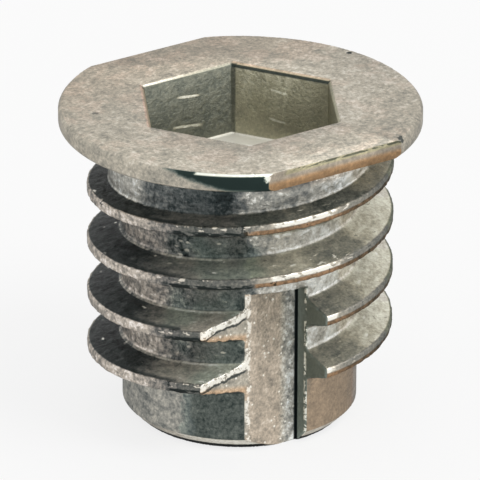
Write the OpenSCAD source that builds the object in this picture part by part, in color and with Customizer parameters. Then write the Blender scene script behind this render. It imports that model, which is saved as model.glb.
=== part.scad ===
// Screw-in threaded insert with a flanged head and a hexagon socket.
// One die-cast zinc piece: a flange with two flats, a neck, a round core with
// a coarse self-cutting ridge wound round it, two cutting notches at the tip
// and a through bore that carries the inner machine thread.
// Origin: centre of the tip face. +Z points up to the flange.
// The flats of the flange face -Y and +Y.

/* [Overall] */
// Height from the tip face to the flange top
total_h = 14.5; // [12:0.1:20]

/* [Flange] */
// Diameter of the flange
flange_d = 16; // [15:0.1:20]
// Distance across the two flats of the flange
flats_across = 14.45; // [13.8:0.05:16]
// Thickness of the flange
flange_t = 0.9; // [0.6:0.05:1.5]
// Bevel round the upper and the lower edge of the flange
flange_bevel = 0.15; // [0.05:0.05:0.3]

/* [Core] */
// Diameter of the core that the ridge is wound on
core_d = 10.4; // [10.2:0.1:11]
// Diameter of the stronger neck under the flange
neck_d = 11.6; // [11.2:0.1:12.4]
// Length of the straight part of the neck
neck_l = 2.4; // [1:0.1:3]
// Length of the cone from the neck down to the core
neck_cone_l = 0.8; // [0.4:0.1:1.5]
// Bevel round the outer edge of the tip
tip_bevel = 0.65; // [0.2:0.05:0.7]

/* [Outer ridge] */
// Diameter over the crest of the ridge
crest_d = 13.5; // [13:0.1:13.8]
// Rise of the ridge in one turn
pitch = 2.5; // [2.3:0.05:2.8]
// Width of the flat on the crest
crest_w = 0.44; // [0.2:0.02:0.6]
// Drop of the upper flank from root to crest
upper_drop = 0.34; // [0.3:0.02:0.6]
// Rise of the lower flank from root to crest
lower_rise = 0.56; // [0.3:0.02:0.6]
// Size of the hollow where a flank meets the core
root_hollow = 0.18; // [0.1:0.02:0.3]
// Height of the crest centre where the ridge starts
ridge_start_z = 2.45; // [2:0.05:3]
// Direction in which the ridge starts, anticlockwise from +X
ridge_start_az = 45; // [0:5:355]
// Length of the ridge in turns
ridge_turns = 4.05; // [3:0.05:4.1]
// Angle over which the ridge grows out of the core and fades into the neck
ridge_fade = 80; // [40:5:120]

/* [Hexagon socket] */
// Width across the flats of the hexagon socket
hex_af = 8.15; // [8:0.05:8.3]
// Depth of the hexagon socket
hex_depth = 3.4; // [2.5:0.1:5]
// Bevel round the mouth of the socket
hex_bevel = 0.15; // [0.05:0.05:0.3]

/* [Inner thread] */
// Bore left by the crests of the inner M8 thread
bore_d = 6.7; // [6.6:0.05:6.9]
// Countersink depth at the tip end of the bore
bore_bevel = 0.4; // [0.2:0.05:0.6]

/* [Cutting notches] */
// Number of notches round the tip
notch_count = 2; // [1:1:2]
// Distance of a notch floor from the axis
notch_floor_r = 4.45; // [4.3:0.05:4.6]
// Height of a notch above the tip face
notch_h = 7.6; // [5:0.1:9]
// Distance of the cutting wall past the centre line
wall_offset = 0.05; // [0:0.05:0.5]

/* [Hidden] */
// Facets round a full circle, and steps of the ridge in one turn
round_fn = 96;
steps_per_turn = 48;
// How deep the ridge is sunk into the core, and the overrun of every cut
sink = 0.35;
overrun = 0.5;

core_r = core_d / 2;
neck_r = neck_d / 2;
crest_r = crest_d / 2;
flange_r = flange_d / 2;
flange_z = total_h - flange_t;
neck_z = flange_z - neck_l;
hex_r = hex_af / 2 / cos(30);
hex_z = total_h - hex_depth;
step_count = round(ridge_turns * steps_per_turn);

// Share of its full height that the ridge has at step i. Both ends lie in the core.
buried_share = 0.12;
function grown(i) =
    let (angle = min(i, step_count - i) * 360 / steps_per_turn)
    buried_share + (1 - buried_share) * sin(90 * min(1, angle / ridge_fade));

// Section [r, z] of the ridge at full height, from the lower root to the upper one.
// Each flank ends in a 45 degree hollow that runs on into the core.
half_crest = crest_w / 2;
lower_root = half_crest + lower_rise;
upper_root = half_crest + upper_drop;
section = [
    [core_r - sink, -lower_root - sink],
    [core_r + root_hollow, -lower_root + root_hollow * lower_rise / (crest_r - core_r)],
    [crest_r, -half_crest],
    [crest_r, half_crest],
    [core_r + root_hollow, upper_root - root_hollow * upper_drop / (crest_r - core_r)],
    [core_r - sink, upper_root + sink]
];

// A section point moved to step i of the helix
function ridge_point(i, p) =
    let (
        az = ridge_start_az + 360 * i / steps_per_turn,
        base = core_r - sink,
        r = base + (p[0] - base) * grown(i),
        z = ridge_start_z + pitch * i / steps_per_turn + p[1] * grown(i)
    )
    [r * cos(az), r * sin(az), z];

module ridge() {
    n = len(section);
    points = [for (i = [0:step_count], p = section) ridge_point(i, p)];
    walls = [
        for (i = [0:step_count - 1], j = [0:n - 1])
            let (k = (j + 1) % n, a = i * n, b = (i + 1) * n)
            each [[a + j, b + k, b + j], [a + j, a + k, b + k]]
    ];
    caps = [[for (j = [n - 1:-1:0]) j], [for (j = [0:n - 1]) step_count * n + j]];
    polyhedron(points, concat(walls, caps));
}

module core() {
    rotate_extrude($fn = round_fn)
        polygon([
            [0, 0],
            [core_r - tip_bevel, 0],
            [core_r, tip_bevel],
            [core_r, neck_z - neck_cone_l],
            [neck_r, neck_z],
            [neck_r, total_h - flange_t / 2],
            [0, total_h - flange_t / 2]
        ]);
}

module flange() {
    inner_r = flange_r - flange_bevel;
    intersection() {
        translate([0, 0, flange_z]) rotate_extrude($fn = round_fn)
            polygon([
                [0, 0],
                [inner_r, 0],
                [flange_r, flange_bevel],
                [flange_r, flange_t - flange_bevel],
                [inner_r, flange_t],
                [0, flange_t]
            ]);
        translate([-flange_d, -flats_across / 2, flange_z - overrun])
            cube([2 * flange_d, flats_across, flange_t + 2 * overrun]);
    }
}

module socket() {
    translate([0, 0, hex_z]) cylinder(r = hex_r, h = hex_depth + overrun, $fn = 6);
    translate([0, 0, total_h - hex_bevel])
        cylinder(r1 = hex_r, r2 = hex_r + hex_bevel + overrun, h = hex_bevel + overrun, $fn = 6);
}

module bore() {
    translate([0, 0, -overrun]) cylinder(d = bore_d, h = total_h + 2 * overrun, $fn = round_fn);
    translate([0, 0, -overrun])
        cylinder(d1 = bore_d + 2 * (bore_bevel + overrun), d2 = bore_d,
                 h = bore_bevel + overrun, $fn = round_fn);
}

// One cutting notch, facing -Y, with its wall on the centre line
module notch() {
    translate([-flange_r, -flange_r - notch_floor_r, -overrun])
        cube([flange_r - wall_offset, flange_r, notch_h + overrun]);
}

module threaded_insert() {
    color("silver") difference() {
        union() {
            core();
            flange();
            ridge();
        }
        socket();
        bore();
        for (i = [0:notch_count - 1]) rotate([0, 0, 180 * i]) notch();
    }
}

threaded_insert();
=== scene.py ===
"""Dresses a screw-in threaded insert, one die-cast zinc piece, and sets it on a studio floor.

The insert is modelled in millimetres, made one skin, and then brought to metres. In the
finish, angles round the axis run from -Y towards +X, in degrees, and lengths are in mm.
"""
import logging
import math
from contextlib import contextmanager
from dataclasses import dataclass
from enum import Enum
from typing import Callable, Iterator, Optional, Sequence, Union

import bpy
import bmesh
from mathutils import Matrix, Vector

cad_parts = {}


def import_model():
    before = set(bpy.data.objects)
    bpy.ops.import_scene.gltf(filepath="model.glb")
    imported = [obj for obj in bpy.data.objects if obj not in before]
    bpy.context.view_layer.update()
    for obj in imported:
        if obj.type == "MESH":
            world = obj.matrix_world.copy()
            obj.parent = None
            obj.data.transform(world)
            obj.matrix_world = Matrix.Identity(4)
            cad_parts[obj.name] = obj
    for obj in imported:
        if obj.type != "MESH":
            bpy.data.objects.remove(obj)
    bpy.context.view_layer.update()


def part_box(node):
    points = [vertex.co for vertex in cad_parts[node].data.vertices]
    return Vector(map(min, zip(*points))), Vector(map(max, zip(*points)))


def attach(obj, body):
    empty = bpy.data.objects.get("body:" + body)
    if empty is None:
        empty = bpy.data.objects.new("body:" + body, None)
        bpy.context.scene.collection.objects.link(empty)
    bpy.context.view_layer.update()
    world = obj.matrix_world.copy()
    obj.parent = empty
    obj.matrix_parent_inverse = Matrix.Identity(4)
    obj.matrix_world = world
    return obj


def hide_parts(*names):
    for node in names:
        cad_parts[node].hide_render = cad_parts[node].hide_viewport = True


LOG = logging.getLogger("insert")
MM = 0.001
NODE = "threaded_insert"
BODY = "root"
WHITE = (1.0, 1.0, 1.0, 1.0)
LEVEL = 0.9  # least share of a face's normal that points along Z when the face counts as level


class Cut(Enum):
    """What a boolean does with its second solid."""

    ADD = "UNION"
    TAKE = "DIFFERENCE"


class Zone(Enum):
    """A region of the insert with a tone of its own."""

    TOP = "top"
    RIM = "rim"
    FLAT = "flat"
    NECK = "neck"
    CORE = "core"
    BASE = "foot of the core"
    UPPER = "upper flank"
    LOWER = "lower flank"
    CREST = "crest"
    TIP = "tip"
    NOTCH = "notch floor"
    WALL = "notch wall"
    SOCKET = "socket wall"
    LEDGE = "socket floor"
    BORE = "bore"


@contextmanager
def editing(obj: bpy.types.Object) -> Iterator[bmesh.types.BMesh]:
    """Opens one object in edit mode with nothing selected.

    Args:
        obj: The mesh object to edit.

    Yields:
        The edit mesh, for picking faces and edges by their place.
    """
    only(obj)
    bpy.ops.object.mode_set(mode="EDIT")
    bpy.ops.mesh.select_mode(type="VERT")
    bpy.ops.mesh.select_all(action="DESELECT")
    yield bmesh.from_edit_mesh(obj.data)
    bpy.ops.object.mode_set(mode="OBJECT")


def only(obj: bpy.types.Object) -> None:
    """Makes one object the only selected one, and the active one.

    Args:
        obj: The object.
    """
    bpy.ops.object.select_all(action="DESELECT")
    obj.select_set(True)
    bpy.context.view_layer.objects.active = obj


def named(name: str) -> bpy.types.Object:
    """Names the object that was just added.

    Args:
        name: The name that it and its mesh get.

    Returns:
        The object.
    """
    obj = bpy.context.object
    obj.name = name
    obj.data.name = name
    return obj


def modify(obj: bpy.types.Object, kind: str, **settings: object) -> None:
    """Adds one modifier, sets it and applies it.

    Args:
        obj: The object that gets the modifier.
        kind: The modifier's type.
        **settings: The modifier's properties.
    """
    only(obj)
    modifier = obj.modifiers.new(kind.title(), kind)
    for key, value in settings.items():
        setattr(modifier, key, value)
    bpy.ops.object.modifier_apply(modifier=modifier.name)


def combine(obj: bpy.types.Object, other: bpy.types.Object, cut: Cut) -> None:
    """Adds a second solid to the first or takes it away, and removes it."""
    modify(obj, "BOOLEAN", object=other, operation=cut.value, solver="EXACT")
    bpy.data.objects.remove(other)


def pick(items: Sequence, test: Callable[[object], bool]) -> None:
    """Selects what passes a test.

    Args:
        items: Faces or edges of an edit mesh.
        test: Says whether one of them is wanted.
    """
    for item in items:
        if test(item):
            item.select_set(True)


def prism(name: str, sides: int, radius: float, depth: float, middle: float,
          turn: float = 0.0) -> bpy.types.Object:
    """Adds an upright prism or cylinder on the axis.

    Args:
        name: The object's name.
        sides: How many sides it has.
        radius: Its radius over the corners.
        depth: Its height.
        middle: Height of its middle.
        turn: Its turn round the axis, in radians.

    Returns:
        The new object.
    """
    bpy.ops.mesh.primitive_cylinder_add(vertices=sides, radius=radius, depth=depth,
                                        location=(0, 0, middle), rotation=(0, 0, turn))
    obj = named(name)
    only(obj)
    bpy.ops.object.transform_apply(location=True, rotation=True)
    return obj


def extend(obj: bpy.types.Object, steps: Sequence, way: int = 1) -> None:
    """Draws a prism's end out along its axis in steps.

    Args:
        obj: The prism.
        steps: Pairs of a length and the ratio by which the new end is widened.
        way: 1 for its upper end, -1 for its lower one.
    """
    with editing(obj) as mesh:
        bpy.ops.mesh.select_mode(type="FACE")
        pick(mesh.faces, lambda face: face.normal.z * way > LEVEL)
        for length, widen in steps:
            bpy.ops.mesh.extrude_region_move(
                TRANSFORM_OT_translate={"value": (0, 0, way * length)})
            bpy.ops.transform.resize(value=(widen, widen, 1), center_override=(0, 0, 0))


def towards(azimuth: float, height: float) -> Vector:
    """A vector of length 1 at an angle from -Y towards +X and one above the floor."""
    turn, tilt = math.radians(azimuth - 90), math.radians(height)
    return Vector((math.cos(turn) * math.cos(tilt), math.sin(turn) * math.cos(tilt),
                   math.sin(tilt)))


Number = Union["Value", float]
Colour = Union["Value", tuple]
Owner = Union[bpy.types.Material, bpy.types.World]


def paint(red: int, green: int, blue: int) -> tuple:
    """Turns a colour as seen into the linear one that a socket takes.

    Args:
        red: Red, 0 to 255.
        green: Green, 0 to 255.
        blue: Blue, 0 to 255.

    Returns:
        Red, green, blue and alpha, 0 to 1.
    """
    parts = []
    for part in (red, green, blue):
        share = part / 255
        parts.append(share / 12.92 if share <= 0.04045 else ((share + 0.055) / 1.055) ** 2.4)
    return (*parts, 1.0)


class Value:
    """One shader value, number or colour, with arithmetic that adds nodes."""

    def __init__(self, graph: "Graph", socket: bpy.types.NodeSocket) -> None:
        """Keeps the graph and the socket that holds the value."""
        self.graph = graph
        self.socket = socket

    def join(self, operation: str, *others: Number) -> "Value":
        """Adds a Math node with this value first, and returns its result."""
        return self.graph.math(operation, self, *others)

    def __add__(self, other: Number) -> "Value":
        """Sum."""
        return self.join("ADD", other)

    __radd__ = __add__

    def __sub__(self, other: Number) -> "Value":
        """Difference."""
        return self.join("SUBTRACT", other)

    def __rsub__(self, other: Number) -> "Value":
        """Difference, with the other one first."""
        return self.graph.math("SUBTRACT", other, self)

    def __mul__(self, other: Number) -> "Value":
        """Product."""
        return self.join("MULTIPLY", other)

    __rmul__ = __mul__

    def __truediv__(self, other: Number) -> "Value":
        """Quotient."""
        return self.join("DIVIDE", other)

    def __abs__(self) -> "Value":
        """Size without its sign."""
        return self.join("ABSOLUTE")

    def part(self) -> "Value":
        """What is left past the last whole number."""
        return self.join("FRACT")

    def rest(self) -> "Value":
        """One less this share."""
        return 1.0 - self

    def capped(self) -> "Value":
        """This share, but no more than one."""
        return self.join("MINIMUM", 1.0)

    def either(self, other: Number) -> "Value":
        """The larger of two."""
        return self.join("MAXIMUM", other)

    def rise(self, low: float, high: float) -> "Value":
        """A share that goes smoothly from 0 at low to 1 at high, which may be the lesser."""
        node = self.graph.add("ShaderNodeMapRange", {"interpolation_type": "SMOOTHSTEP"},
                              {"Value": self, "From Min": low, "From Max": high})
        return Value(self.graph, node.outputs[0])

    def near(self, middle: float, half: float, soft: float) -> "Value":
        """A share that is 1 within half of the middle and 0 from soft beyond that."""
        return abs(self - middle).rise(half + soft, half)


class Graph:
    """The node tree of a material or a world, and the nodes that finishes are made of."""

    def __init__(self, owner: Owner) -> None:
        """Empties the node tree.

        Args:
            owner: The material or world that the tree belongs to.
        """
        owner.use_nodes = True
        self.owner = owner
        self.tree = owner.node_tree
        self.tree.nodes.clear()

    def add(self, kind: str, settings: Optional[dict] = None,
            inputs: Optional[dict] = None) -> bpy.types.Node:
        """Adds one node.

        Args:
            kind: The node's type.
            settings: Its properties by name.
            inputs: What its sockets take, by name or place: a value, socket, number or colour.

        Returns:
            The node.
        """
        node = self.tree.nodes.new(kind)
        for key, value in (settings or {}).items():
            setattr(node, key, value)
        for key, value in (inputs or {}).items():
            source = value.socket if isinstance(value, Value) else value
            if isinstance(source, bpy.types.NodeSocket):
                self.tree.links.new(source, node.inputs[key])
            else:
                node.inputs[key].default_value = source
        return node

    def math(self, operation: str, *parts: Number) -> Value:
        """Adds a Math node and returns its result."""
        node = self.add("ShaderNodeMath", {"operation": operation}, dict(enumerate(parts)))
        return Value(self, node.outputs[0])

    def vector(self, operation: str, *parts: Colour, result: str = "Vector",
               **named_parts: Number) -> Value:
        """Adds a Vector Math node and returns its result."""
        node = self.add("ShaderNodeVectorMath", {"operation": operation},
                        {**dict(enumerate(parts)), **named_parts})
        return Value(self, node.outputs[result])

    def blend(self, share: Number, first: Colour, second: Colour, kind: str = "MIX") -> Value:
        """Lays a share of the second colour over the first."""
        node = self.add("ShaderNodeMix", {"data_type": "RGBA", "blend_type": kind},
                        {0: share, 6: first, 7: second})
        return Value(self, node.outputs[2])

    def pick(self, share: Number, first: Number, second: Number) -> Value:
        """Goes from the first number to the second as the share goes from 0 to 1."""
        node = self.add("ShaderNodeMix", {"data_type": "FLOAT"}, {0: share, 2: first, 3: second})
        return Value(self, node.outputs[0])

    def ramp(self, at: Number, stops: Sequence, smooth: bool = False) -> Value:
        """Looks a colour up along a row of stops.

        Args:
            at: Where, from 0 to 1.
            stops: Pairs of a place and a colour.
            smooth: Whether it eases at the stops.

        Returns:
            The colour.
        """
        node = self.add("ShaderNodeValToRGB", inputs={0: at})
        row = node.color_ramp
        row.interpolation = "EASE" if smooth else "LINEAR"
        while len(row.elements) < len(stops):
            row.elements.new(1.0)
        for element, (place, colour) in zip(row.elements, stops):
            element.position = place
            element.color = colour
        return Value(self, node.outputs[0])

    def noise(self, at: Value, scale: float, detail: float = 2.0, rough: float = 0.5) -> Value:
        """Soft noise about zero, with finer layers of the strength that rough says."""
        node = self.add("ShaderNodeTexNoise", inputs={
            "Vector": at, "Scale": scale, "Detail": detail, "Roughness": rough})
        return Value(self, node.outputs[0]) - 0.5

    def scatter(self, at: Value, scale: float) -> Value:
        """Distance to the nearest of many scattered points."""
        node = self.add("ShaderNodeTexVoronoi", inputs={"Vector": at, "Scale": scale})
        return Value(self, node.outputs[0])

    def seen(self) -> Value:
        """A share that is 1 for rays from the camera, a mirror or a clear piece.

        Returns:
            The share.
        """
        rays = self.add("ShaderNodeLightPath").outputs
        share = Value(self, rays["Is Camera Ray"])
        for ray in ("Is Glossy Ray", "Is Transmission Ray"):
            share = share.either(Value(self, rays[ray]))
        return share

    def output(self, shader: bpy.types.Node, kind: str = "ShaderNodeOutputMaterial") -> Owner:
        """Joins the last shader to the output, and returns the material or world."""
        self.add(kind, inputs={"Surface": shader.outputs[0]})
        return self.owner


class Place:
    """Where a point of the insert lies, as shader values in mm, degrees and shares.

    Attributes:
        at: The point; x, y and z are its parts, and r its distance from the axis.
        turn: Its direction as a share of a turn; angle is that in degrees, a little uneven.
        over: Its height over the middle of the nearest turn of the ridge.
        grain, mottle, vein, cloud: Noise, from fine to wide.
        around: Coordinates that run round the axis; stroke and dash are noise along them.
        flange_shadow: The share of what lies close under the flange, where a shadow is painted.
        under_ridge: The share of what lies below the ridge's first turn.
    """

    def __init__(self, graph: Graph, insert: "Insert") -> None:
        """Works the places out from the object's own coordinates.

        Args:
            graph: The material's graph.
            insert: The insert, for its sizes.
        """
        source = graph.add("ShaderNodeTexCoord")
        self.graph = graph
        self.insert = insert
        self.at = graph.vector("SCALE", Value(graph, source.outputs["Object"]), Scale=1 / MM)
        parts = graph.add("ShaderNodeSeparateXYZ", inputs={0: self.at})
        self.x, self.y, self.z = (Value(graph, parts.outputs[k]) for k in range(3))
        self.r = (self.x * self.x + self.y * self.y).join("SQRT")
        self.turn = self.x.join("ARCTAN2", self.y * -1) / (2 * math.pi) + 0.5
        lead = (insert.ridge_az + 90) / 360 + 0.5
        along = (self.z - insert.ridge_z) / insert.pitch - self.turn + lead
        self.over = ((along + 0.5).part() - 0.5) * insert.pitch
        self.grain = graph.noise(self.at, 7.0, 4.0, 0.7)
        self.mottle = graph.noise(self.at, 1.5, 4.0, 0.65)
        self.vein = graph.noise(self.at, 3.2, 3.0, 0.6)
        self.cloud = graph.noise(self.at, 0.4)
        self.angle = (self.turn - 0.5) * 360 + self.mottle * 14
        around = graph.add("ShaderNodeCombineXYZ", inputs={
            0: self.x / self.r * 6.4, 1: self.y / self.r * 6.4, 2: (self.z + self.r) * 3})
        self.around = Value(graph, around.outputs[0])
        self.stroke = graph.noise(self.around, 1.3, 3.0, 0.6)
        self.dash = graph.noise(self.around, 2.2, 2.0, 0.6)
        # Painted shadow: the neck close under the flange is darkened and browned with this share.
        self.flange_shadow = (self.z + self.mottle * 0.6).rise(insert.total_h - 2.0,
                                                      insert.total_h - 1.45)
        self.under_ridge = along.rise(0.74, 0.68) * self.z.rise(3.7, 3.3)

    def round_about(self, stops: Sequence) -> Value:
        """Looks a tone up by the angle round the axis, which is a little uneven.

        Args:
            stops: Pairs of an angle in degrees and a tone, from -180 to 180.

        Returns:
            The tone.
        """
        at = (self.turn + self.mottle * 0.05 + 1.0).part()
        row = [((angle + 180) / 360, (tone, tone, tone, 1.0)) for angle, tone in stops]
        return self.graph.ramp(at, row, smooth=True)

    def arc(self, start: float, end: float, soft: float = 4.0) -> Value:
        """A share that is 1 between two angles, in degrees, and fades over soft."""
        return self.angle.rise(start - soft, start) * self.angle.rise(end + soft, end)

    def spot(self, x: float, y: float, down: float, size: float) -> Value:
        """A share that is 1 in an uneven blot, whose middle lies down from the flange's top."""
        gap = self.graph.vector("DISTANCE", self.at, (x, y, self.insert.total_h - down),
                                result="Value")
        return (gap + (self.grain + self.mottle) * size * 2).rise(size * 1.2, size * 0.5)

    def side(self, azimuth: float) -> tuple:
        """The distance out to the side of the socket at an azimuth, and the place along it."""
        turn = math.radians(azimuth)
        return (self.x * math.cos(turn) + self.y * math.sin(turn),
                self.x * -math.sin(turn) + self.y * math.cos(turn))

    def hex_edge(self, azimuth: float, low: float, wide: float) -> Value:
        """A line along the bevel of one side of the socket.

        Args:
            azimuth: Direction of the side from +X, in degrees.
            low: How far the line's middle lies outside the socket's wall, in mm.
            wide: Half the line's width, in mm.

        Returns:
            A share that is 1 on the line.
        """
        across, along = self.side(azimuth)
        half = self.insert.hex_af / 2
        end = half * math.tan(math.pi / 6)
        return (across.near(half + low, wide, 0.03) * abs(along).rise(end + 0.12, end)
                * self.z.rise(self.insert.total_h - 0.25, self.insert.total_h - 0.15))

    def scratch(self, azimuth: float, along: float, down: float, half: float) -> Value:
        """A thin light scratch on a wall of the socket.

        Args:
            azimuth: Direction of the wall from +X, in degrees.
            along: Place of its middle along the wall, in mm.
            down: Its depth below the flange's top, in mm.
            half: Half its length, in mm.

        Returns:
            Its share.
        """
        across, run = self.side(azimuth)
        slope = (run - along) * -0.12
        line = (self.z + slope + self.mottle * 0.2).near(self.insert.total_h - down, 0.03, 0.05)
        return (line * run.near(along, half * 0.6, half * 0.4)
                * across.near(self.insert.hex_af / 2, 0.15, 0.1))

    def zones(self) -> dict:
        """The share that each zone has at a point, where a later zone hides an earlier one.

        Returns:
            A value for each Zone.
        """
        size = self.insert
        flange_z = size.total_h - size.flange_t
        floor_z = size.total_h - size.hex_depth
        outside = self.r.rise(4.75, 4.85)
        inside = outside.rest()
        flange = outside * self.z.rise(flange_z - 0.06, flange_z)
        below = outside * self.z.rise(flange_z, flange_z - 0.06)
        cone = self.z.rise(flange_z - size.neck_l - size.cone_l, flange_z - size.neck_l)
        over_base = self.r - (size.core_r + (size.neck_r - size.core_r) * cone)
        ridge = below * over_base.rise(0.03, 0.1)
        upper = self.over.rise(-0.03, 0.03)
        low = self.z.rise(size.notch_h + 0.05, size.notch_h)
        notch = (low * (self.x * self.y).rise(0.0, 0.05) * self.r.rise(4.38, 4.43)
                 * abs(self.y).near(size.notch_floor, 0.04, 0.03))
        wall = (low * (self.x * self.y).rise(0.0, 0.01)
                * abs(self.x).near(size.wall_offset, 0.05, 0.03)
                * abs(self.y).rise(size.notch_floor, size.notch_floor + 0.05))
        shares = {
            Zone.RIM: flange,
            Zone.FLAT: flange * abs(self.y).rise(size.across / 2 - 0.05, size.across / 2 - 0.02),
            Zone.NECK: below * cone,
            Zone.CORE: below * cone.rest(),
            Zone.BASE: below * self.under_ridge,
            Zone.UPPER: ridge * upper,
            Zone.LOWER: ridge * upper.rest(),
            Zone.CREST: below * self.r.rise(size.crest_r - 0.14, size.crest_r - 0.05),
            Zone.TIP: self.z.rise(size.tip_bevel, size.tip_bevel - 0.06) * outside,
            Zone.NOTCH: notch,
            Zone.WALL: wall,
            Zone.SOCKET: inside * self.z.rise(floor_z + 0.05, floor_z + 0.1),
            Zone.LEDGE: inside * self.z.near(floor_z, 0.06, 0.04),
            Zone.BORE: self.r.rise(4.3, 4.2) * self.z.rise(floor_z - 0.05, floor_z - 0.1),
            Zone.TOP: self.z.rise(size.total_h - 0.06, size.total_h - 0.02),
        }
        rest: Number = 1.0
        for zone in reversed(shares):
            share = shares[zone]
            shares[zone] = share * rest
            rest = share.rest() * rest
        return shares


# One tone for a whole zone, or pairs of an angle and the tone there: 0 is black, 1 clean bright
# metal.
# Each zone's own level, darker in the grooves, is the tarnish; the socket floor's tone above 1 is
# painted light.
# Round the axis these tones are painted light and shade: darker on the near side and in the
# flange's shade, lighter on the side towards the key lamp.
TONES_WITH_PAINTED_LIGHT = {
    Zone.RIM: ((-180, .62), (-100, .68), (180, .62)),
    Zone.FLAT: ((-180, .54), (-20, .63), (40, .61), (180, .54)),
    Zone.TOP: ((-180, .70), (0, .74), (60, .76), (180, .70)),
    Zone.NECK: ((-180, .4), (-125, .64), (-86, .73), (-77, .42), (-55, .34), (-42, .26),
                (-28, .64), (20, .84), (60, .74), (180, .4)),
    Zone.CORE: ((-180, .4), (-125, .53), (-85, .69), (-62, .42), (-36, .38), (-18, .80),
                (15, .82), (60, .62), (180, .4)),
    Zone.BASE: ((-180, .45), (-125, .55), (-68, .62), (-54, .36), (-22, .36), (0, .57),
                (60, .52), (180, .45)),
    Zone.UPPER: ((-180, .34), (-125, .12), (-85, .2), (-60, .42), (-30, .48), (-8, .58),
                 (0, .40), (16, .42), (28, .67), (60, .71), (120, .42), (180, .34)),
    Zone.LOWER: ((-180, .3), (-125, .2), (-60, .3), (20, .5), (70, .5), (180, .3)),
    Zone.CREST: ((-180, .55), (-125, .62), (-78, .74), (-60, .42), (-34, .44), (-24, .66),
                 (2, .66), (14, .54), (34, .47), (60, .40), (180, .55)),
    Zone.TIP: ((-180, .5), (-120, .55), (-90, .6), (-60, .85), (-30, .9), (10, .8),
               (60, .6), (180, .5)),
    Zone.NOTCH: .70,
    Zone.WALL: .5,
    Zone.SOCKET: .715,
    Zone.LEDGE: 1.1,
    Zone.BORE: .4,
}

# Dark blots round the flange: x, y, depth below its top and size in mm, and strength.
BLOTS = ((-5.9, 2.6, 0.0, 0.14, 0.4), (7.3, 2.1, 0.0, 0.14, 1.0),
         (-7.35, -3.6, 0.0, 0.16, 0.6), (3.6, -7.15, 0.05, 0.22, 0.6))

# Scratches in the socket: wall's direction, place along it, depth, half length, and strength.
SCRATCHES = ((90, 0.0, 1.1, 0.7, 0.8), (90, 0.0, 2.5, 0.9, 0.8),
             (30, 0.1, 1.0, 0.5, 0.7), (30, 0.1, 2.4, 0.5, 0.9))


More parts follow.
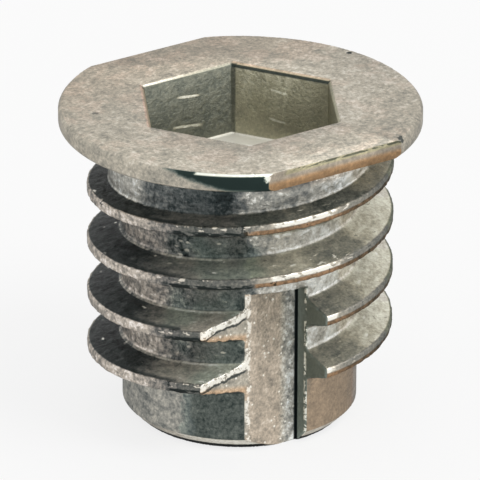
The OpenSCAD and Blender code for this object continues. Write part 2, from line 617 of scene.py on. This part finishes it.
class Tarnish:
    """How light, dirty and coloured the insert is at a point, with painted light and shade in it,
    as shader values.
    """

    def __init__(self, place: Place) -> None:
        """Keeps the places and works the zones out.

        Args:
            place: Where each point lies.
        """
        self.place = place
        self.size = place.insert
        self.zones = place.zones()

    def on(self, *zones: Zone) -> Value:
        """The share of some zones together."""
        return sum((self.zones[zone] for zone in zones[1:]), self.zones[zones[0]])

    def part(self, zone: Zone, start: float, end: float, soft: float = 4.0) -> Value:
        """The share of a zone between two angles, in degrees, which fades over soft."""
        return self.zones[zone] * self.place.arc(start, end, soft)

    def rim_dark_reflection(self) -> Value:
        """The share of the rim's dark patch, a painted dark reflection on the near side, which
        starts as a wedge under the top's edge.
        """
        wedge = self.place.z - self.size.total_h + (self.place.angle + 60) * 0.04
        return self.part(Zone.RIM, -58, -27, 8) * wedge.rise(-0.14, 0.18)

    def burr_line(self) -> Value:
        """Height over the line that runs along the upper edge of a cut ridge, in mm."""
        place = self.place
        return place.over + (place.r - self.size.crest_r) * 0.22 + place.mottle * 0.5

    def cut(self) -> Value:
        """The share of the notch's floor that cuts through the ridge."""
        return self.on(Zone.NOTCH) * self.place.r.rise(5.1, 5.3)

    def strip(self) -> Value:
        """The share of an upright strip in the notch's floor."""
        return self.on(Zone.NOTCH) * self.place.x.near(-1.75, 0.7, 0.3)

    def tone(self) -> Value:
        """How light each zone is, from 0 for black to 1 for clean metal, with painted light and
        shade in it.

        Returns:
            The tone.
        """
        place, top_z = self.place, self.size.total_h
        tone: Number = 0.0
        for zone, share in self.zones.items():
            row = TONES_WITH_PAINTED_LIGHT[zone]
            tone = share * (place.round_about(row) if isinstance(row, tuple) else row) + tone
        # Painted light and shade: the upper flank lighter on the lower turns and darker on the
        # first turn, in the flange's shade;
        # the crest's lower half darker on the near side, a painted dark reflection; the neck
        # darker close under the flange, a painted shadow;
        # the top darker near the flat, painted shade that tones a highlight down. The core's left
        # side is darker higher up.
        for zone, arc, share, change in (
                (Zone.UPPER, (-70, 70, 20), place.z.rise(10.8, 9.8), 0.14),
                (Zone.UPPER, (-72, -38, 12), place.z.rise(8.2, 7.4), 0.13),
                (Zone.UPPER, (-30, 0, 10), place.z.rise(9.8, 10.8), -0.08),
                (Zone.CREST, (-26, 70), place.over.rise(0.02, -0.04), -0.18),
                (Zone.CORE, (-125, -62), place.z.rise(7.6, 8.6), -0.09),
                (Zone.NECK, (-24, 40), place.flange_shadow, -0.26),
                (Zone.TOP, (0, 60, 20), place.r.rise(5.0, 6.8), -0.06)):
            tone = tone + self.part(zone, *arc) * share * change
        # Painted shade on the socket's back wall, as in a recess; the flat is darker towards the
        # bottom.
        back = place.side(90)[0].rise(self.size.hex_af / 2 - 0.2, self.size.hex_af / 2 - 0.1)
        low = place.z.rise(top_z - 0.45, top_z - 0.7)
        return tone - self.on(Zone.SOCKET) * back * 0.23 - self.on(Zone.FLAT) * low * 0.08

    def texture(self) -> Value:
        """The blots and the grain that every zone shows, stronger in the grooves.

        Returns:
            What they add to the tone.
        """
        place, on = self.place, self.on
        top, upper, notch = on(Zone.TOP), on(Zone.UPPER), on(Zone.NOTCH)
        patches = on(Zone.CORE, Zone.NECK) * place.arc(-30, 60, 10) * 0.6
        rough = ((on(Zone.CORE, Zone.CREST) + on(Zone.BASE, Zone.NECK) * 0.5)
                 * place.arc(-130, -62, 6))
        calm = (on(Zone.WALL) * 0.4 + on(Zone.SOCKET) * 0.22 + on(Zone.FLAT) * 0.2
                + self.part(Zone.BASE, 0, 36) * 0.2)
        blots = 0.42 - top * 0.08 - upper * 0.12 + patches - calm
        strokes = upper * 0.4 + on(Zone.NECK) * 0.3 + top * 0.2
        middle = notch * abs(place.x).rise(1.0, 0.8)
        veins = rough * 0.95 + notch * 0.25 + middle * 0.6
        fine = 0.55 + top * 0.12 + rough * 0.2 + middle * 0.3 - calm
        return (place.mottle * blots + place.stroke * strokes + place.vein * veins
                + place.grain * fine)

    def dirt_and_shade(self) -> Value:
        """Dark grime and black tarnish, with the rim's painted dark reflection and a painted
        shadow line under the crest.

        Returns:
            Its share.
        """
        place, crest = self.place, self.on(Zone.CREST)
        under_edge = (self.part(Zone.FLAT, -14, 36) * place.dash.rise(-0.12, 0.02)
                      * place.z.near(self.size.total_h - 0.1, 0.02, 0.07))
        # Painted shadow: a dark line under the crest on the near side.
        crest_shadow_line = (self.part(Zone.CREST, -60, -34) * place.dash.rise(-0.14, -0.04)
                * (place.over + place.mottle * 0.15).rise(-0.02, -0.08))
        flecks = (place.mottle + place.grain * 0.4).rise(0.13, 0.2)
        specks = flecks * (crest + self.on(Zone.UPPER) * 0.5
                           + self.part(Zone.CORE, -125, -62) * 0.7)
        above = self.part(Zone.UPPER, -125, -60) * place.r.rise(6.35, 6.6)
        outline = (self.on(Zone.NOTCH) * place.r.rise(5.15, 5.3)
                   * self.burr_line().near(-0.16, 0.03, 0.05))
        dirt_and_shade = (self.rim_dark_reflection() * 0.95 + under_edge * 0.6 + crest_shadow_line + specks * 0.8
                + above * 0.7 + outline * 0.7 + place.hex_edge(30, 0.02, 0.03) * 0.8)
        for x, y, down, size, strength in BLOTS:
            dirt_and_shade = dirt_and_shade + place.spot(x, y, down, size) * strength
        return dirt_and_shade.capped()

    def crevice_shade(self) -> Value:
        """The share of the black line of painted shade in the crease where a notch's floor meets
        its wall.
        """
        place, size = self.place, self.size
        return ((place.x * place.y).rise(-0.02, 0.0) * abs(place.x).rise(0.2, 0.12)
                * abs(place.y).rise(size.notch_floor + 0.12, size.notch_floor + 0.06)
                * place.r.rise(4.38, 4.43)
                * place.z.rise(size.notch_h + 0.02, size.notch_h - 0.05))

    def flange_highlights_and_scratches(self) -> Value:
        """Painted highlights on the rim's bevels, in a spot on the rim and on the socket's bevel,
        and clean metal in the socket's scratches.

        Returns:
            Its share.
        """
        place, top_z = self.place, self.size.total_h
        low_z = top_z - self.size.flange_t
        # Painted highlights: the rim's upper and lower bevels on the near side, a spot and the
        # socket's back bevel.
        wear_and_highlights = (self.part(Zone.RIM, -48, -24, 3) * place.z.rise(top_z - 0.17, top_z - 0.1)
                + self.part(Zone.RIM, -66, -34, 8) * place.z.rise(low_z + 0.22, low_z + 0.05)
                * 0.4 + place.spot(-3.6, -7.25, 0.25, 0.18)
                + place.hex_edge(90, 0.07, 0.02) * (place.x.rise(1.5, -2.0) * 0.5 + 0.3))
        for azimuth, along, down, half, strength in SCRATCHES:
            wear_and_highlights = wear_and_highlights + place.scratch(azimuth, along, down, half) * strength
        return wear_and_highlights

    def ridge_highlights(self) -> Value:
        """Painted highlights on the crest, a painted light line at the root above it and painted
        glints on the flank.

        Returns:
            Its share.
        """
        place = self.place
        # Painted highlights along the crest, brightest on the side towards the key lamp.
        edge = self.on(Zone.CREST) * place.over.near(0.12, 0.08, 0.05)
        crest_highlight = (place.dash + place.over * 0.3).rise(-0.12, -0.02) * place.arc(-19, 1, 5)
        broken_highlights = place.dash.rise(0.07, 0.14) * place.arc(-66, 12) * 0.7
        root_highlight = (self.part(Zone.UPPER, -125, -45) * place.r.near(5.3, 0.03, 0.04)
                  * (place.vein * 2 + 0.45))
        flank_glints = (self.part(Zone.UPPER, -12, 8) * place.r.rise(6.1, 6.25)
                 * place.dash.rise(0.07, 0.12) * (place.z.near(9.3, 0.8, 0.3) * 0.7 + 0.3))
        return edge * (crest_highlight + broken_highlights) + root_highlight + flank_glints

    def notch_edge_highlights(self) -> Value:
        """Painted highlights along a notch's edges: on the raised edge where the ridge is cut, on
        the floor's edge and on the outer edge of its wall.

        Returns:
            Its share.
        """
        place = self.place
        # Painted highlights on the cut edges, broken up by noise.
        crumple = (place.grain + place.vein * 0.8).rise(-0.1, -0.02)
        burr_highlight = self.cut() * self.burr_line().rise(-0.14, -0.04) * crumple
        lip_highlight = (self.on(Zone.NOTCH) * (place.x + place.mottle * 0.4).near(-2.6, 0.06, 0.08)
               * (place.grain * 0.5 + place.vein).rise(0.0, 0.07))
        outer = (self.on(Zone.WALL) * place.r.near(5.11, 0.06, 0.05)
                 * (place.grain * 0.6 + place.vein).rise(0.0, 0.06))
        return burr_highlight + lip_highlight * 0.8 + outer

    def glints(self) -> Value:
        """Painted glints: sparks in the notches, bright dashes between the turns, and pale blooms
        of painted light on the neck and core.

        Returns:
            Their share.
        """
        place = self.place
        sparks, dashes = ((place.graph.scatter(at, scale) + place.grain * 0.5).rise(0.2, 0.1)
                          for at, scale in ((place.at, 2.9), (place.around, 1.0)))
        gate = place.cloud.rise(-0.03, 0.06)
        blooms = (place.mottle + place.grain * 0.6).rise(0.08, 0.18) * place.arc(-28, 22, 6)
        return (sparks * self.on(Zone.NOTCH)
                + dashes * gate * (self.on(Zone.UPPER) + self.on(Zone.CORE) * 0.5)
                + blooms * self.on(Zone.NECK, Zone.CORE) * 0.7)

    def wear_and_highlights(self) -> Value:
        """The share of painted highlights and glints, and of clean metal in scratches."""
        return (self.flange_highlights_and_scratches() + self.ridge_highlights() + self.notch_edge_highlights()
                + self.glints()).capped()

    def under(self) -> Value:
        """The share of the crest's lower half, on the near side, where a warm reflection is
        painted.
        """
        return self.part(Zone.CREST, -28, 50) * self.place.over.rise(0.02, -0.06)

    def rust_and_warm_reflection(self) -> Value:
        """Where the insert is painted brown: a painted warm reflection on the flat, the crest's
        lower half, the foot and the cut ridge, a painted brown shadow under the flange, and brown
        tarnish in spots.

        Returns:
            The share of that colour.
        """
        place, size = self.place, self.size
        band = place.z.rise(size.total_h - 0.35, size.total_h - 0.6) * 0.75
        bottom = (place.over + (size.crest_r - place.r) * 0.36).rise(0.15, -0.15)
        return (self.on(Zone.FLAT) * (band + 0.15) + self.under() * 0.8
                + self.part(Zone.NECK, -24, 40) * place.flange_shadow * 0.25
                + self.part(Zone.BASE, 2, 34, 9) * 0.42 + self.cut() * bottom * 0.5
                + self.strip() * 0.08 + place.hex_edge(30, 0.1, 0.05) * 0.25
                + self.on(Zone.TOP) * place.y.rise(2.0, 5.5) * 0.07)

    def teal(self) -> Value:
        """Where the tarnish is blue-green, and where the rim's painted dark reflection is tinted
        blue-green.

        Returns:
            The share of that colour.
        """
        place = self.place
        patches = place.arc(-66, -30, 10) * place.cloud.rise(-0.1, 0.2) * 0.6
        return (self.rim_dark_reflection() + self.part(Zone.BASE, -62, -28, 3) * 0.4
                + self.on(Zone.WALL) * 0.6 + self.on(Zone.CORE, Zone.UPPER) * patches
                + self.on(Zone.SOCKET) * 0.12)

    def blue(self) -> Value:
        """Where the tarnish is blue.

        Returns:
            The share of that colour.
        """
        place = self.place
        left = self.on(Zone.CORE, Zone.BASE, Zone.CREST) * place.arc(-125, -60)
        return (self.part(Zone.NECK, -125, 20) * 0.6 + left * 0.4
                + self.part(Zone.CORE, -30, 20) * 0.5
                + self.on(Zone.NOTCH) * abs(place.x).rise(0.9, 0.5) * 0.6)

    def pink(self) -> Value:
        """Where the tarnish is pink, and where the crest's lower half has a painted warm
        reflection.

        Returns:
            The share of that colour.
        """
        place = self.place
        left = self.on(Zone.CREST, Zone.CORE) * place.arc(-125, -60)
        clouds = self.on(Zone.TOP) * (place.mottle + place.cloud).rise(-0.05, 0.15)
        return (left * 0.35 + self.strip() * 0.14 + self.under() * 0.3
                + place.hex_edge(150, 0.1, 0.08) * 0.8 + self.part(Zone.BASE, 38, 46) * 0.6
                + clouds * 0.25)

    def moss(self) -> Value:
        """The share of yellow-green."""
        high = self.place.z.rise(self.size.total_h - 0.3, self.size.total_h - 0.2)
        return (self.part(Zone.FLAT, -18, 34) * high * 0.6 + self.part(Zone.CREST, 40, 80) * 0.5
                + self.on(Zone.SOCKET) * 0.25 + self.part(Zone.UPPER, -30, 60) * 0.22)


@dataclass(frozen=True)
class Zinc:
    """Die-cast zinc that has dulled: pale on top, dark in the grooves, scratched, with painted
    light, shade and highlights.
    """

    name: str = "die_cast_zinc"
    metallic: float = 0.95
    dull_metallic: float = 0.35
    ledge_metallic: float = 0.25
    roughness: float = 0.55
    bare_roughness: float = 0.32
    dirt_and_shade_tone: float = 0.17
    wear_and_highlight_tone: float = 1.0
    bump_strength: float = 0.8
    bump_height: float = 0.00005
    tint_on_wear_and_highlights: float = 0.2
    rim_tint: tuple = (0.6, 0.6, 0.6, 1.0)
    black: tuple = paint(14, 17, 17)
    slate: tuple = paint(60, 66, 64)
    grey: tuple = paint(112, 113, 108)
    stone: tuple = paint(160, 156, 145)
    pale: tuple = paint(198, 190, 174)
    bright: tuple = paint(252, 249, 238)
    rust_and_warm_reflection: tuple = (1.5, 0.95, 0.55, 1.0)
    teal: tuple = (0.80, 1.05, 1.02, 1.0)
    blue: tuple = (0.90, 1.0, 1.14, 1.0)
    pink: tuple = (1.16, 0.95, 0.90, 1.0)
    moss: tuple = (0.97, 1.05, 0.74, 1.0)

    def make(self, insert: "Insert") -> bpy.types.Material:
        """Makes the material for an insert of those sizes.

        Args:
            insert: The insert.

        Returns:
            The material.
        """
        graph = Graph(bpy.data.materials.new(self.name))
        place = Place(graph, insert)
        tarnish = Tarnish(place)
        # Painted light goes into the base colour here: through the tone, the dark share, the
        # highlights and glints, and the crevice's shade.
        wear_and_highlights = tarnish.wear_and_highlights()
        tone = graph.pick(tarnish.dirt_and_shade(), tarnish.tone() + tarnish.texture(), self.dirt_and_shade_tone)
        tone = graph.pick(wear_and_highlights, tone, self.wear_and_highlight_tone) * tarnish.crevice_shade().rest()
        colour = graph.ramp(tone, ((0.06, self.black), (0.26, self.slate), (0.44, self.grey),
                                   (0.61, self.stone), (0.74, self.pale), (0.96, self.bright)))
        covered = graph.pick(wear_and_highlights, 1.0, self.tint_on_wear_and_highlights)
        for share, tint in ((tarnish.rust_and_warm_reflection(), self.rust_and_warm_reflection), (tarnish.teal(), self.teal),
                            (tarnish.blue(), self.blue), (tarnish.pink(), self.pink),
                            (tarnish.moss(), self.moss)):
            colour = graph.blend(share.capped() * covered, colour, tint, "MULTIPLY")
        bump = graph.add("ShaderNodeBump", inputs={
            "Height": place.grain * 0.8 + place.mottle + place.stroke * 0.3,
            "Strength": self.bump_strength, "Distance": self.bump_height})
        metallic = graph.pick(tarnish.on(Zone.UPPER, Zone.LOWER), self.metallic,
                              self.dull_metallic)
        return graph.output(graph.add("ShaderNodeBsdfPrincipled", inputs={
            "Base Color": colour,
            "Metallic": graph.pick(tarnish.on(Zone.LEDGE), metallic, self.ledge_metallic),
            "Roughness": graph.pick(tone, self.roughness, self.bare_roughness),
            "Specular Tint": self.rim_tint,
            "Normal": bump.outputs[0]}))


@dataclass(frozen=True)
class PaleFloor:
    """The plain white floor, which shows white and keeps a soft part of each shadow."""

    name: str = "pale_floor"
    shade: tuple = (0.9, 0.9, 0.9, 1.0)
    shadow: float = 0.2

    def make(self) -> bpy.types.Material:
        """Makes the material.

        Returns:
            The material.
        """
        graph = Graph(bpy.data.materials.new(self.name))
        matt = graph.add("ShaderNodeBsdfDiffuse", inputs={"Color": self.shade})
        white = graph.add("ShaderNodeEmission", inputs={"Color": WHITE, "Strength": 1.0})
        return graph.output(graph.add("ShaderNodeMixShader", inputs={
            0: graph.seen() * (1 - self.shadow), 1: matt.outputs[0], 2: white.outputs[0]}))


@dataclass(frozen=True)
class Helix:
    """A section swept up a helix, with ends that shrink towards the axis.

    Attributes:
        section: Points (r, z) of the closed section, in mm.
        start_az: Direction of the start, in degrees from +X.
        start_z: Height of the section's zero at the start.
        pitch: Rise in one turn.
        turns: Length in turns.
        steps: Steps in one turn.
        base_r: Radius that a shrinking end draws back to.
        fade: Degrees over which an end grows to full size, or 0.
        least: Share of the full size that an end has.
    """

    section: tuple
    start_az: float
    start_z: float
    pitch: float
    turns: float
    steps: int
    base_r: float
    fade: float = 0.0
    least: float = 1.0

    def grown(self, angle: float) -> float:
        """Works out how far an end has grown.

        Args:
            angle: Place along the helix, in degrees.

        Returns:
            The share of the full size there.
        """
        end = min(angle, self.turns * 360 - angle)
        if self.fade == 0:
            return 1.0
        share = math.sin(math.pi / 2 * min(1.0, max(0.0, end) / self.fade))
        return self.least + (1 - self.least) * share

    def build(self, name: str) -> bpy.types.Object:
        """Makes the closed solid.

        Args:
            name: The object's name.

        Returns:
            The new object.
        """
        count = len(self.section)
        bpy.ops.mesh.primitive_circle_add(vertices=count, radius=1, fill_type="NOTHING")
        obj = named(name)
        for vertex, (r, z) in zip(obj.data.vertices, self.section):
            vertex.co = (r, 0, self.start_z + z)
        rings = round(self.turns * self.steps)
        modify(obj, "SCREW", axis="Z", angle=math.radians(360 * self.turns),
               screw_offset=self.pitch * self.turns, steps=rings, render_steps=rings,
               use_smooth_shade=False, use_merge_vertices=False)
        self.shape_ends(obj)
        with editing(obj):
            bpy.ops.mesh.select_all(action="SELECT")
            bpy.ops.transform.rotate(value=-math.radians(self.start_az), orient_axis="Z",
                                     center_override=(0, 0, 0))
        return obj

    def shape_ends(self, obj: bpy.types.Object) -> None:
        """Shrinks both ends of the sweep and closes them.

        Args:
            obj: The swept section.
        """
        for vertex in obj.data.vertices:
            x, y, z = vertex.co
            r = math.hypot(x, y)
            step = vertex.index // len(self.section)
            angle = 360 * step / self.steps
            share = self.grown(angle)
            middle = self.start_z + self.pitch * angle / 360
            new_r = self.base_r + (r - self.base_r) * share
            vertex.co = (x * new_r / r, y * new_r / r, middle + (z - middle) * share)
        with editing(obj):
            bpy.ops.mesh.select_non_manifold()
            bpy.ops.mesh.fill_holes(sides=0)
            bpy.ops.mesh.select_all(action="SELECT")
            bpy.ops.mesh.normals_make_consistent(inside=False)


@dataclass(frozen=True)
class Insert:
    """The cast insert: flange, neck, core, ridge, notches, socket and inner thread.

    All sizes are in mm. The helix of the ridge starts low at the back.
    """

    total_h: float
    flange_r: float
    across: float
    flange_t: float = 0.9
    bevel: float = 0.15
    facets: int = 192
    core_r: float = 5.2
    neck_r: float = 5.8
    neck_l: float = 2.4
    cone_l: float = 0.8
    tip_bevel: float = 0.65
    crest_r: float = 6.75
    pitch: float = 2.5
    crest_w: float = 0.44
    upper_drop: float = 0.34
    lower_rise: float = 0.56
    hollow: float = 0.18
    ridge_sink: float = 0.35
    ridge_az: float = 45.0
    ridge_z: float = 2.45
    ridge_turns: float = 4.05
    ridge_steps: int = 144
    ridge_fade: float = 80.0
    ridge_least: float = 0.12
    hex_af: float = 8.15
    hex_depth: float = 3.4
    hex_bevel: float = 0.15
    bore_r: float = 3.35
    bore_facets: int = 96
    bore_bevel: float = 0.4
    thread_r: float = 4.0
    thread_pitch: float = 1.25
    thread_steps: int = 72
    thread_sink: float = 0.2
    thread_extra: float = 2.0
    groove_mouth: float = 0.44
    groove_root: float = 0.07
    notch_floor: float = 4.45
    notch_h: float = 7.6
    wall_offset: float = 0.05
    overrun: float = 1.0
    voxel: float = 0.065
    lump: float = 0.18
    lump_size: float = 0.35
    lump_gap: float = 0.05
    lump_fade: float = 0.5
    calm_lump: float = 0.4
    triangles: int = 190000

    def blank(self) -> bpy.types.Object:
        """Makes the turned outside: core, neck and flange, with the tip bevelled.

        Returns:
            The solid.
        """
        cone_z = self.total_h - self.flange_t - self.neck_l - self.cone_l
        obj = prism("insert_blank", self.facets, self.core_r, cone_z, cone_z / 2)
        with editing(obj) as mesh:
            bpy.ops.mesh.select_mode(type="EDGE")
            pick(mesh.edges, lambda edge: all(v.co.z < self.tip_bevel for v in edge.verts))
            bpy.ops.mesh.bevel(offset=self.tip_bevel, segments=1, affect="EDGES")
        face_r = self.flange_r - self.bevel
        extend(obj, (
            (self.cone_l, self.neck_r / self.core_r),
            (self.neck_l, 1.0),
            (0.0, face_r / self.neck_r),
            (self.bevel, self.flange_r / face_r),
            (self.flange_t - 2 * self.bevel, 1.0),
            (self.bevel, face_r / self.flange_r)))
        for side in (-1, 1):
            with editing(obj):
                bpy.ops.mesh.select_all(action="SELECT")
                bpy.ops.mesh.bisect(plane_co=(0, side * self.across / 2, 0),
                                    plane_no=(0, side, 0), use_fill=True, clear_outer=True)
        return obj

    def ridge(self) -> bpy.types.Object:
        """Makes the self-cutting ridge, with hollows where its flanks meet the core.

        Returns:
            The solid.
        """
        half = self.crest_w / 2
        base_r, width = self.core_r - self.ridge_sink, self.crest_r - self.core_r
        low, high = half + self.lower_rise, half + self.upper_drop
        section = (
            (base_r, -low - self.ridge_sink),
            (self.core_r + self.hollow, -low + self.hollow * self.lower_rise / width),
            (self.crest_r, -half),
            (self.crest_r, half),
            (self.core_r + self.hollow, high - self.hollow * self.upper_drop / width),
            (base_r, high + self.ridge_sink),
        )
        helix = Helix(section, self.ridge_az, self.ridge_z, self.pitch, self.ridge_turns,
                      self.ridge_steps, base_r, self.ridge_fade, self.ridge_least)
        return helix.build("insert_ridge")

    def socket(self) -> bpy.types.Object:
        """Makes the hexagon that is taken out for the key, with its bevelled mouth.

        Returns:
            The cutter.
        """
        depth = self.hex_depth - self.hex_bevel
        corner_r = self.hex_af / 2 / math.cos(math.pi / 6)
        obj = prism("cut_socket", 6, corner_r, depth,
                    self.total_h - self.hex_depth + depth / 2, math.pi / 6)
        flare = self.hex_bevel + self.overrun
        extend(obj, ((flare, (corner_r + flare) / corner_r),))
        return obj

    def bore(self) -> bpy.types.Object:
        """Makes the round bore, with its countersink at the tip.

        Returns:
            The cutter.
        """
        obj = prism("cut_bore", self.bore_facets, self.bore_r, self.total_h,
                    self.total_h / 2 + self.bore_bevel)
        flare = self.bore_bevel + self.overrun
        extend(obj, ((flare, (self.bore_r + flare) / self.bore_r),), -1)
        return obj

    def thread(self) -> bpy.types.Object:
        """Makes the grooves of the inner thread, as one helical cutter.

        Returns:
            The cutter.
        """
        inner, outer = self.bore_r - self.thread_sink, self.thread_r
        wide, narrow = self.thread_pitch * self.groove_mouth, self.thread_pitch * self.groove_root
        section = ((inner, -wide), (outer, -narrow), (outer, narrow), (inner, wide))
        turns = (self.total_h - self.hex_depth + self.thread_extra) / self.thread_pitch
        helix = Helix(section, 0, -self.overrun, self.thread_pitch, turns, self.thread_steps,
                      inner)
        return helix.build("cut_thread")

    def notch(self, side: int) -> bpy.types.Object:
        """Makes the block that is taken away for one cutting notch at the tip.

        Args:
            side: -1 for the one that faces -Y, 1 for its twin.

        Returns:
            The cutter.
        """
        width = self.flange_r
        height = self.notch_h + self.overrun
        bpy.ops.mesh.primitive_cube_add(
            size=1, scale=(width, width, height),
            location=(side * (self.wall_offset + width / 2),
                      side * (self.notch_floor + width / 2), self.notch_h - height / 2))
        return named("cut_notch")

    def true_up(self, obj: bpy.types.Object) -> None:
        """Brings what lies close to a flat face of the insert right onto it.

        Args:
            obj: The skin, in mm.
        """
        planes = [((0, 0, 1), self.total_h), ((0, 0, -1), 0.0),
                  ((0, 0, 1), self.total_h - self.hex_depth)]
        for side in (-1, 1):
            planes += [((0, side, 0), self.across / 2), ((0, side, 0), self.notch_floor),
                       ((side, 0, 0), self.wall_offset)]
        for turn in range(30, 390, 60):
            angle = math.radians(turn)
            planes.append(((math.cos(angle), math.sin(angle), 0), self.hex_af / 2))
        planes = [(Vector(normal), distance) for normal, distance in planes]
        for vertex in obj.data.vertices:
            for normal, distance in planes:
                gap = vertex.co.dot(normal) - distance
                if abs(gap) < self.voxel / 3:
                    vertex.co -= normal * gap

    def lumpy(self, point: Vector) -> float:
        """Works out how lumpy the cast skin is.

        Args:
            point: A point of the skin, in mm.

        Returns:
            The share of the full lumps, which is 0 on the core and on the flange.
        """
        x, y, z = point
        past = math.hypot(x, y) - self.core_r - self.lump_gap
        if z > self.total_h - self.flange_t - 2 * self.lump_gap or past < 0:
            return 0.0
        share = min(1.0, past / self.lump_fade)
        on_cut = (x * y > 0 and z < self.notch_h
                  and abs(abs(y) - self.notch_floor) < 2 * self.lump_gap)
        return share if on_cut else share * self.calm_lump

    def weather(self, obj: bpy.types.Object) -> None:
        """Makes the ridge a little lumpy, most of all where the notches cut it.

        Args:
            obj: The skin, in mm.
        """
        group = obj.vertex_groups.new(name="lumps")
        for vertex in obj.data.vertices:
            share = self.lumpy(vertex.co)
            if share > 0:
                group.add([vertex.index], share, "REPLACE")
        lumps = bpy.data.textures.new("lumps", "CLOUDS")
        lumps.noise_scale = self.lump_size
        lumps.noise_depth = 2
        modify(obj, "DISPLACE", texture=lumps, vertex_group=group.name, strength=self.lump,
               mid_level=0.5, texture_coords="LOCAL")
        obj.vertex_groups.clear()

    def build(self) -> bpy.types.Object:
        """Models the insert as one skin and brings it to metres.

        Returns:
            The finished piece.
        """
        obj = self.blank()
        combine(obj, self.ridge(), Cut.ADD)
        for side in (-1, 1):
            combine(obj, self.notch(side), Cut.TAKE)
        for cutter in (self.socket, self.bore, self.thread):
            combine(obj, cutter(), Cut.TAKE)
        LOG.info("solid: %d faces", len(obj.data.polygons))
        modify(obj, "REMESH", mode="VOXEL", voxel_size=self.voxel, use_smooth_shade=True)
        LOG.info("skin: %d faces", len(obj.data.polygons))
        modify(obj, "SMOOTH", factor=0.5, iterations=3)
        self.true_up(obj)
        self.weather(obj)
        share = self.triangles / (2 * len(obj.data.polygons))
        if share < 1:
            modify(obj, "DECIMATE", ratio=share, use_collapse_triangulate=True)
            self.true_up(obj)
        only(obj)
        obj.scale = (MM, MM, MM)
        bpy.ops.object.transform_apply(scale=True)
        bpy.ops.object.shade_smooth()
        obj.name = obj.data.name = "insert"
        return obj


@dataclass(frozen=True)
class Lamp:
    """A round soft lamp turned to the middle of the floor, in degrees, watts and metres."""

    name: str
    azimuth: float
    height: float
    power: float
    size: float
    distance: float = 0.6

    def build(self) -> None:
        """Adds the lamp."""
        place = towards(self.azimuth, self.height)
        data = bpy.data.lights.new(self.name, "AREA")
        data.shape = "DISK"
        data.size = self.size
        data.energy = self.power
        lamp = bpy.data.objects.new(self.name, data)
        lamp.location = place * self.distance
        lamp.rotation_euler = place.to_track_quat("Z", "Y").to_euler()
        bpy.context.scene.collection.objects.link(lamp)


@dataclass(frozen=True)
class Studio:
    """Camera, lamp, floor and world. Angles are in degrees, lengths in metres."""

    azimuth: float = -34.79
    elevation: float = 23.53
    distance: float = 0.3466
    aim_z: float = 0.00796
    lens: float = 589.1
    sensor: float = 36.0
    clip: float = 0.01
    roll: float = 0.24
    floor_size: float = 3.0
    fill: float = 0.7
    key: Lamp = Lamp("lamp_key", 25, 52, 1.0, 0.3)

    def camera(self) -> None:
        """Sets the camera that looks at the insert from its notched side."""
        back = towards(self.azimuth, self.elevation)
        data = bpy.data.cameras.new("camera")
        data.lens = self.lens
        data.sensor_width = self.sensor
        data.clip_start = self.clip
        obj = bpy.data.objects.new("camera", data)
        bpy.context.scene.collection.objects.link(obj)
        obj.location = Vector((0, 0, self.aim_z)) + back * self.distance
        obj.rotation_euler = (back.to_track_quat("Z", "Y").to_matrix()
                              @ Matrix.Rotation(math.radians(self.roll), 3, "Z")).to_euler()
        bpy.context.scene.camera = obj

    def floor(self) -> None:
        """Adds the pale floor."""
        bpy.ops.mesh.primitive_plane_add(size=self.floor_size)
        obj = named("floor")
        obj.data.materials.append(PaleFloor().make())

    def world(self) -> None:
        """Adds the white world, which lights the insert with less than it shows."""
        world = bpy.data.worlds.new("studio")
        bpy.context.scene.world = world
        graph = Graph(world)
        strength = graph.pick(graph.seen(), self.fill, 1.0)
        graph.output(graph.add("ShaderNodeBackground", inputs={
            "Color": WHITE, "Strength": strength}), "ShaderNodeOutputWorld")

    def build(self) -> None:
        """Builds the whole stage."""
        self.camera()
        self.floor()
        self.world()
        self.key.build()
        bpy.context.scene.view_settings.view_transform = "Standard"


def main() -> None:
    """Loads the frame, models and dresses the insert, and sets the stage."""
    logging.basicConfig(level=logging.INFO, format="%(message)s")
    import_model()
    low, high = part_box(NODE)
    insert = Insert(total_h=high.z / MM, flange_r=high.x / MM, across=2 * high.y / MM)
    piece = insert.build()
    piece.data.materials.clear()
    piece.data.materials.append(Zinc().make(insert))
    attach(piece, BODY)
    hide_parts(NODE)
    Studio().build()
    LOG.info("piece %s: %d faces", piece.name, len(piece.data.polygons))


if __name__ == "__main__":
    main()
